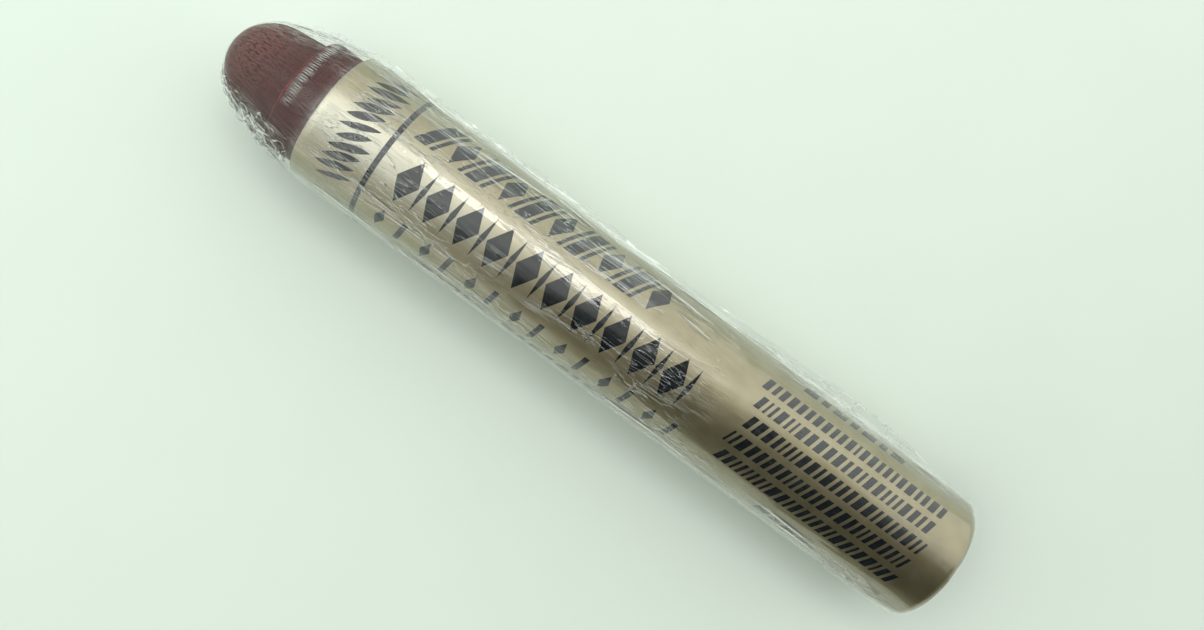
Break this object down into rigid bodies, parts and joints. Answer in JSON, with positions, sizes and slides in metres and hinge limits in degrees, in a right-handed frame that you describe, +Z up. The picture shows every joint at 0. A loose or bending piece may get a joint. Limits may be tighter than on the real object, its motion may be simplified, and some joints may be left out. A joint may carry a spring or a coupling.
{
  "type": "oil paint stick",
  "caption": "Round oil paint stick: domed crimson paint crayon in a rolled card sleeve with a printed metallic label, lying sealed in clear shrink film.",
  "frame": {"origin": "on the surface that the wrapped stick lies on, below its axis, half way along the wrapped length", "axes": "+X along the axis from the paint's nose to the rear of the sleeve, +Y to the side where the film's trimmed seam runs, +Z up"},
  "size_m": [0.1206, 0.0216, 0.0196],
  "materials": {
    "cast_paint": "waxy, satin",
    "paint_skin": "dried oil, dull and finely wrinkled",
    "card": "bare cut card",
    "metallised_label": "satin champagne metallic with dark print",
    "clear_film": "clear, glossy, finely creased"
  },
  "bodies": {
    "sleeve": {"card_sleeve": "card", "foil_label": "metallised_label"},
    "paint": {"paint_stick": "cast_paint", "dried_skin": "paint_skin"},
    "wrapper": {"shrink_film": "clear_film"}
  },
  "joints": [
    {"name": "paint_advance", "type": "slide", "parent": "sleeve", "child": "paint", "axis": [-1, 0, 0], "range_m": [0, 0.088]},
    {"name": "film_pull_off", "type": "slide", "parent": "paint", "child": "wrapper", "axis": [-1, 0, 0], "range_m": [0, 0.125]}
  ]
}
